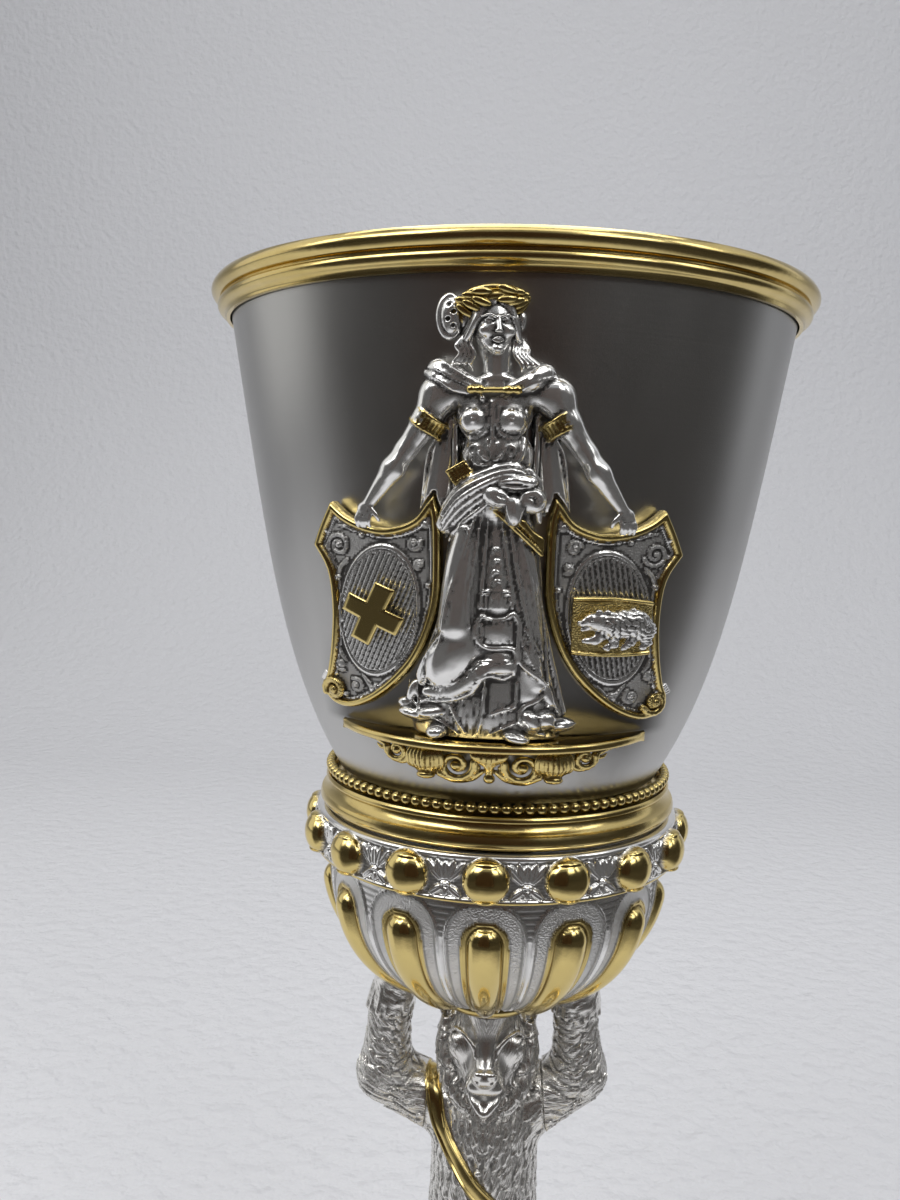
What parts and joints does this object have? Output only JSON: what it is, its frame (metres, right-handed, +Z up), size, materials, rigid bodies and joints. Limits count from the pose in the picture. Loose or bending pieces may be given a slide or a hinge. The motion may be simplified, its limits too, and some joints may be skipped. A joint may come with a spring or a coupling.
{
  "type": "trophy cup",
  "caption": "Standing cup: a flared silver beaker with a figure and shields in relief, on a lobed calyx held up by a standing bear on a domed foot",
  "frame": {"origin": "the middle of the foot's underside, on the table", "axes": "+Z runs up the cup's axis, and -Y is the cup's front, with the figure in relief"},
  "size_m": [0.09, 0.0911, 0.216],
  "materials": {
    "satin_silver": "frosted silver with a soft upright sheen",
    "silver": "polished silver with dark recesses, gilt on the raised lobes, bosses and frames",
    "dark_silver": "oxidised silver with chased fur",
    "gilt": "polished gilding on silver",
    "brass": "plain turned brass"
  },
  "bodies": {
    "root": {"beaker": "satin_silver", "figure": "silver", "cross_shield": "silver", "bear_shield": "silver", "band_bear": "silver", "boss_band": "silver", "calyx": "silver", "foot_dome": "silver", "bear_body": "dark_silver", "bear_right_arm": "dark_silver", "bear_left_arm": "dark_silver", "mound": "dark_silver", "lip_moulding": "gilt", "bead_ring": "gilt", "collar": "gilt", "calyx_ring": "gilt", "sash": "gilt", "ledge": "gilt", "ledge_scroll": "gilt", "cross_charge": "gilt", "bear_band": "gilt", "foot_collar": "gilt", "foot_rim": "gilt", "foot_wire": "gilt", "stem_stud": "brass", "calyx_nut": "brass", "beaker_socket": "brass", "foot_stud": "brass", "foot_nut": "brass", "foot_washer": "brass"}
  },
  "joints": []
}
